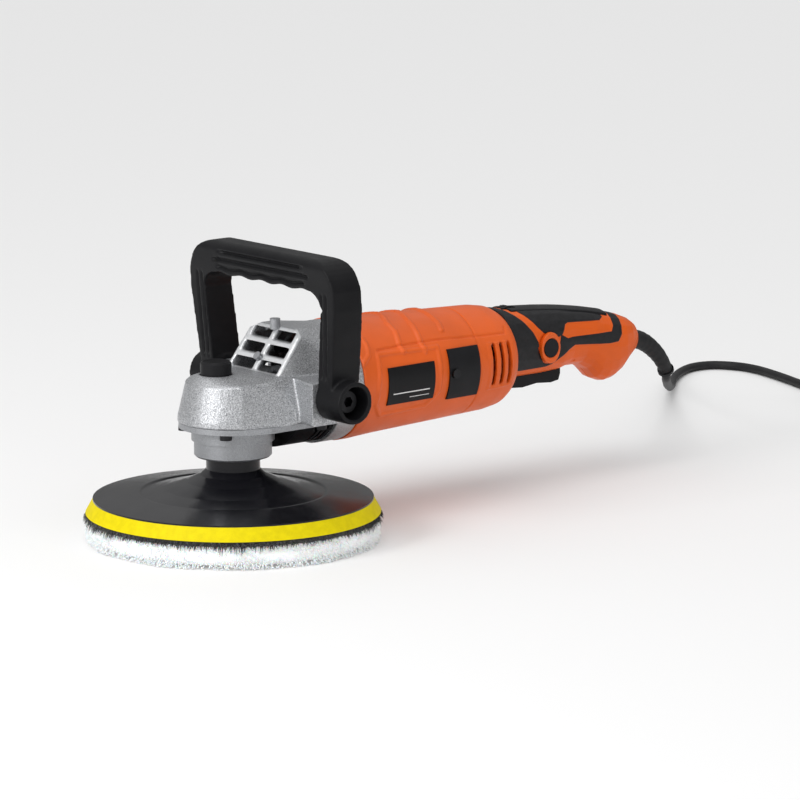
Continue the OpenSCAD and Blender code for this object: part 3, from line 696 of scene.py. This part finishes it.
def make_gear_head():
    """The casting, with the flat cheeks that meet the round nose in a crease."""
    head = soften(cad_copy("gear_housing", "gear_casting"), 0.68, 3)
    points = points_of(head)
    x, y, z = points.T
    size = np.interp(z, [73, 77, 97.5, 99], [1, 0.99, 0.86, 0.82])
    (crease_x, crease_y), (end_x, end_y) = CREASE, CHEEK_END
    cheek = size * (crease_y + (x / size - crease_x) * (end_y - crease_y) / (end_x - crease_x))
    reach = (x > size * CREASE[0] - 2) & (x < CHEEK_END[0]) & (z > 70) & (z < 103)
    points[:, 1] = np.where(reach & (np.abs(y) > cheek), np.sign(y) * cheek, y)
    clear_lock_well(points)
    set_points(head, points)
    run, rise = LOUVRE_TOP - LOUVRE_FOOT
    off_panel = np.abs((x - LOUVRE_FOOT[0]) * rise - (z - LOUVRE_FOOT[1]) * run) / np.hypot(run, rise)
    # the front face of the louvres, which the casting material colours brighter
    store(head, "bright_louvres", plateau(z, 103, 127, 1) * (1 - smoothstep(0.8, 1.6, off_panel)))
    finish_piece(head, MATERIALS["casting"], "housing", ["gear_housing"], 28)


def clear_lock_well(points):
    """Keeps the well and guide of the lock button as wide as the button needs."""
    away = points[:, :2] - (LOCK_X, 0.0)
    out = np.maximum(np.hypot(*away.T), 0.01)
    z = points[:, 2]
    well = (out > 7.5) & (out < WELL_R) & (z > WELL_FLOOR + 0.6)
    guide = (out > 0.5) & (out < GUIDE_R) & (z > 86) & (z < WELL_FLOOR + 1.5)
    wanted = np.where(well, WELL_R, np.where(guide, GUIDE_R, out))
    points[:, :2] += away * (wanted / out - 1)[:, None]
    floor = (out < WELL_R) & (z > WELL_FLOOR - 0.6) & (z < WELL_FLOOR + 0.6)
    points[:, 2] = np.where(floor, np.minimum(z, WELL_FLOOR), z)


BAIL_GROOVES = [(160.0, 40), (164.8, 44), (169.6, 36)]  # height and half length
BAR_GROOVE_DEPTH, LEG_GROOVE_DEPTH = 1.6, 1.7
LEG_GROOVES = (-2.6, 1.8)  # away from the middle of a leg
FINGER_PITCH, FINGER_DEPTH = 20, 0.6


def make_bail():
    """The bail, with finger waves under its bar and grooves along its front."""
    bail = soften(cad_copy("bail_handle", "bail_grip"), 0.7, 8)
    points = points_of(bail)
    x, y, z = points.T
    across = np.abs(y)
    front = smoothstep(0.5, 4, 36 - x)
    bar = smoothstep(150, 156, z) * plateau(across, -1, 46, 4)
    rows = sum(ridge(z - height, 0.5, 0.7) * plateau(across, 0, reach, 4) for height, reach in BAIL_GROOVES)
    points[:, 0] += BAR_GROOVE_DEPTH * rows * bar * front
    under = plateau(z, 148, 160, 3) * plateau(across, -1, 44, 4)
    points[:, 2] += FINGER_DEPTH * under * np.cos(y * TAU / FINGER_PITCH)
    legs = plateau(z, 106, 152, 5) * front * smoothstep(50, 52, across)
    middle = np.interp(z, [90, 170], [57.0, 62.0])
    for offset in LEG_GROOVES:
        points[:, 0] += LEG_GROOVE_DEPTH * ridge(across - middle - offset, 0.5, 0.7) * legs
    set_points(bail, points)
    finish_piece(bail, MATERIALS["bail"], "housing", ["bail_handle"], 180)


# ---------- motor housing ----------

# paths over the housing as (x, degrees above its axis)
FRAME = [(86.7, 29), (135.8, 29), (134.9, -16.5), (126, -31), (89.1, -32), (82.8, -18.7), (86.7, 29)]
RIBS = [
    [(115.4, 92), (108.7, 65), (109.4, 52), (107.2, 38), (107.8, 29)],
    [(130.5, 91), (126.4, 68), (125.6, 52), (124.4, 35), (125.3, 26)],
    [(146.3, 88), (146.6, 71), (146.9, 58), (145.5, 47)],
]
NOSE_RIB = [(80.4, 48.5), (81.3, 40), (79.7, 29.7), (72.8, 21)]
SEAM = [(88.4, 33.5), (111.8, 35.4), (138.6, 36.8), (173, 34.8), (195, 34.6), (196.8, 42.6)]
RING_SEAM_X = 169.5
VENT_X = 187.2
HOUSING_R = 36.0
HOUSING_OUTLINE = ([73, 80, 100, 150, 190, 200, 204.5, 206], [38, 38, 36.8, 35, 33.5, 32, 29.5, 27])


def path_distance(x, s, path):
    """Distance over the unrolled surface to a path of (x, angle)."""
    near = np.full(x.shape, FAR)
    points = [(px, math.radians(angle) * HOUSING_R) for px, angle in path]
    for start, end in zip(points, points[1:]):
        near = np.minimum(near, segment_distance(x, s, start, end))
    return near


def make_housing():
    """The motor housing, with its ribs and frame raised, and its seams sunk."""
    shell = soften(cad_copy("motor_housing", "housing_moulding"), 0.85, 3)
    points = points_of(shell)
    x, y, z = points[:, 0], points[:, 1], points[:, 2] - AXIS_Z
    radius = np.hypot(y, z)
    outer = np.interp(x, *HOUSING_OUTLINE)
    skin_share = smoothstep(-1.6, -0.6, radius - outer)
    angle = np.arctan2(z, np.abs(y))
    s = angle * HOUSING_R
    raised = np.zeros(len(points))
    for rib in RIBS:
        raised += 1.2 * ridge(path_distance(x, s, rib), 1.1, 0.9)
    for edge in (FRAME, NOSE_RIB):
        raised += 0.9 * ridge(path_distance(x, s, edge), 0.8, 0.9)
    for seam in (path_distance(x, s, SEAM), x - RING_SEAM_X):
        raised -= 0.8 * ridge(seam, 0.25, 0.7)
    # a low lip round the vents
    raised += 0.5 * ridge(np.maximum(np.abs(x - VENT_X) - 9.5, np.abs(s) - 15.5), 0.5, 0.7)
    grow = raised * skin_share / np.maximum(radius, 1)
    points[:, 1] += y * grow
    points[:, 2] += z * grow
    set_points(shell, points)
    finish_piece(shell, MATERIALS["housing"], "housing", ["motor_housing"], 180)


# ---------- rear handle ----------

# outlines of the black overmould as (x, z)
UPPER_BLACK = [
    (211.8, 127), (211.8, 122.9), (217.9, 119), (224.8, 113), (230, 107.1), (234.3, 103.1), (240, 101.5),
    (248, 99), (251.7, 100.5), (255.2, 106), (257.8, 106.8), (288, 104.6), (292.3, 106), (292.4, 111),
    (291, 127),
]
BAND_BLACK = [
    (199, 122), (202.5, 123.9), (211.9, 118.3), (218.8, 112.3), (224.8, 105.1), (229.2, 98), (231.3, 90.6),
    (234.5, 84.9), (240, 82.5), (245.5, 85.5), (247.5, 91), (250, 100.5), (256.2, 97.2), (260.5, 97.6),
    (291.3, 96.8), (297, 96.6), (299.2, 100), (300.4, 107.5), (301.5, 120), (310, 120), (308.3, 104),
    (306.2, 94), (302.5, 89.5), (294.9, 89.2), (263.2, 92), (258, 89.7), (251.9, 85.8), (244, 81.7),
    (239, 80.5), (216, 80.5), (204, 82), (204, 120),
]
RING_CENTRE = (239.5, 93.0)
RING_SQUEEZE = 0.78
RING_REACH = 10.2
BLACK_RISE = 0.55
BUTTON_X, BUTTON_Z = 239, 93.3


def make_shells():
    """Both shells, with the black overmould standing proud of the orange."""
    for node, name in (("handle_shell_left", "left_shell"), ("handle_shell_right", "right_shell")):
        shell = soften(cad_copy(node, name), 0.6, 2)
        points = points_of(shell)
        x, y, z = points.T
        black = np.maximum.reduce([inside_distance(x, z, area) for area in (UPPER_BLACK, BAND_BLACK)])
        from_ring = np.hypot((x - RING_CENTRE[0]) / RING_SQUEEZE, z - RING_CENTRE[1]) - RING_REACH
        black = np.minimum(black, from_ring)
        outside = smoothstep(9, 13, np.abs(y)) + smoothstep(112, 114, z)
        rise = BLACK_RISE * smoothstep(-0.2, 0.5, black) * np.clip(outside, 0, 1)
        normals = np.empty(len(points) * 3)
        shell.data.vertices.foreach_get("normal", normals)
        store(shell, "rubber", black)
        set_points(shell, points + normals.reshape(-1, 3) * rise[:, None])
        finish_piece(shell, MATERIALS["shells"], "housing", [node], 180)


def make_button_ring():
    """The raised ring round the lock-on button, taller than it is wide."""
    ring = soften(cad_copy("button_ring", "oval_ring"), 0.35, 3)
    points = points_of(ring)
    out = np.hypot(points[:, 0] - BUTTON_X, points[:, 2] - BUTTON_Z)
    squeeze = 1 - (1 - RING_SQUEEZE) * smoothstep(6.6, 9, out)
    points[:, 0] = BUTTON_X + (points[:, 0] - BUTTON_X) * squeeze
    set_points(ring, points)
    finish_piece(ring, MATERIALS["orange"], "housing", ["button_ring"], 180)


def make_grip():
    """The soft strip, bent down at its sides to follow the round top of the shells."""
    strip = soften(cad_copy("handle_grip", "soft_strip"), 0.5, 3)
    points = points_of(strip)
    x, y, _ = points.T
    points[:, 2] -= y**2 * np.interp(x, [216, 291], [0.017, 0.026])
    set_points(strip, points)
    finish_piece(strip, MATERIALS["black"], "housing", ["handle_grip"], 180)


# ---------- light and floor ----------


LAMPS = [("left", (-1.5, -0.1, 0.7), 0.6, 13), ("front", (-0.2, -1.9, 0.5), 0.8, 3)]
SUNS = [("over", (-0.6, -0.5, 1.6), 40, 0.95)]
LIT_POINT = (0.1, 0, 0.09)


def make_light():
    """The floor, the world, the area lamps and the sun."""
    stage = bpy.data.materials.new("floor")
    stage.use_nodes = True
    base = stage.node_tree.nodes["Principled BSDF"]
    base.inputs["Base Color"].default_value = (0.88, 0.88, 0.88, 1)
    base.inputs["Roughness"].default_value = 0.9
    bpy.ops.mesh.primitive_plane_add(size=60, location=(0, 0, 0))
    floor = bpy.context.object
    floor.name = "floor"
    floor.data.materials.append(stage)
    light_world()
    for name, place, size, power in LAMPS:
        lamp = bpy.data.lights.new(name, "AREA")
        lamp.size = size
        lamp.energy = power
        aim_at(lamp, name, place)
    for name, place, angle, power in SUNS:
        sun = bpy.data.lights.new(name, "SUN")
        sun.angle = math.radians(angle)
        sun.energy = power
        aim_at(sun, name, place)


def aim_at(lamp, name, place):
    """Puts a lamp in its place, turned to the lit point."""
    holder = bpy.data.objects.new(name, lamp)
    holder.location = place
    aim = Vector(LIT_POINT) - Vector(place)
    holder.rotation_euler = aim.to_track_quat("-Z", "Y").to_euler()
    bpy.context.scene.collection.objects.link(holder)


def light_world():
    """A bright ceiling that fades to a dim wall, so that glossy parts have something to show."""
    world = bpy.data.worlds.new("studio")
    bpy.context.scene.world = world
    world.use_nodes = True
    tree = world.node_tree
    place = tree.nodes.new("ShaderNodeTexCoord")
    split = tree.nodes.new("ShaderNodeSeparateXYZ")
    ramp = tree.nodes.new("ShaderNodeMapRange")
    ramp.interpolation_type = "SMOOTHSTEP"
    for key, value in (("From Min", -0.05), ("From Max", 0.75), ("To Min", 0.18), ("To Max", 0.72)):
        ramp.inputs[key].default_value = value
    tree.links.new(place.outputs["Generated"], split.inputs[0])
    tree.links.new(split.outputs["Z"], ramp.inputs["Value"])
    tree.links.new(ramp.outputs["Result"], tree.nodes["Background"].inputs["Strength"])
    tree.nodes["Background"].inputs["Color"].default_value = (1, 1, 1, 1)
    bpy.context.scene.view_settings.view_transform = "Standard"


make_camera()
make_lead()
make_wool()
make_gear_head()
make_bail()
make_housing()
make_shells()
make_grip()
make_button_ring()
dress_cad_nodes()
make_light()
